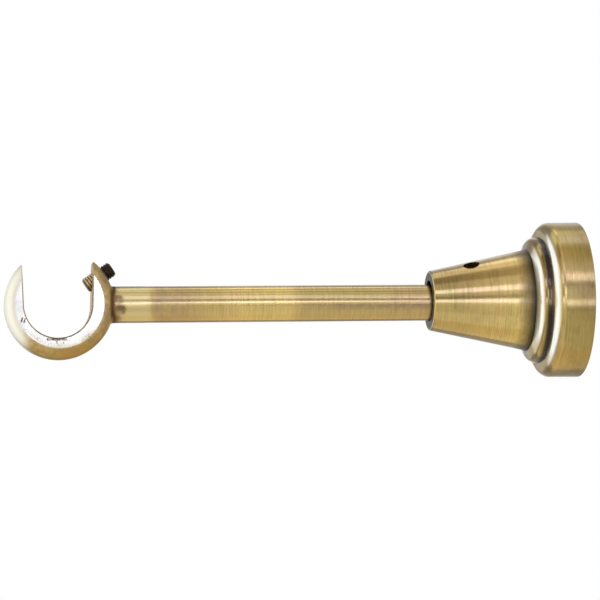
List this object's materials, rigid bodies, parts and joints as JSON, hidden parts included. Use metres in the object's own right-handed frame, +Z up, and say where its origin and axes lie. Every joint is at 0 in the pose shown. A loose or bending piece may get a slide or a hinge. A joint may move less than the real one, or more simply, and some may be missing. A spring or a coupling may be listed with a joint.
{
  "type": "curtain pole bracket",
  "caption": "Wall bracket for a curtain pole: an open hook with a clamping grub screw on a round rod, and a stepped conical rose cover that slides on the rod over the wall plate.",
  "frame": {"origin": "centre of the wall plate, in the plane of the wall, on the axis of the rod", "axes": "+Y into the wall, so the rod reaches out along -Y; X along the pole; +Z up, the way the hook opens"},
  "size_m": [0.04, 0.1473, 0.0399],
  "materials": {
    "antique_brass": "brushed, with darker patina in the crevices",
    "dark_brass": "darkened",
    "zinc_plated_steel": "satin"
  },
  "bodies": {
    "arm": {"wall_plate": "zinc_plated_steel", "rod_screw": "zinc_plated_steel", "rod": "antique_brass", "hook": "antique_brass"},
    "cover": {"rose_cover": "antique_brass"},
    "cover_grub": {"cover_screw": "dark_brass"},
    "pole_grub": {"pole_screw": "dark_brass"}
  },
  "joints": [
    {"name": "cover_slide", "type": "slide", "parent": "arm", "child": "cover", "axis": [0, -1, 0], "range_m": [0, 0.077]},
    {"name": "cover_screw_travel", "type": "slide", "parent": "cover", "child": "cover_grub", "axis": [0.4384, 0, 0.8988], "range_m": [0, 0.0025]},
    {"name": "pole_screw_travel", "type": "slide", "parent": "arm", "child": "pole_grub", "axis": [0, 0.8339, 0.5519], "range_m": [-0.0016, 0.0024]}
  ]
}
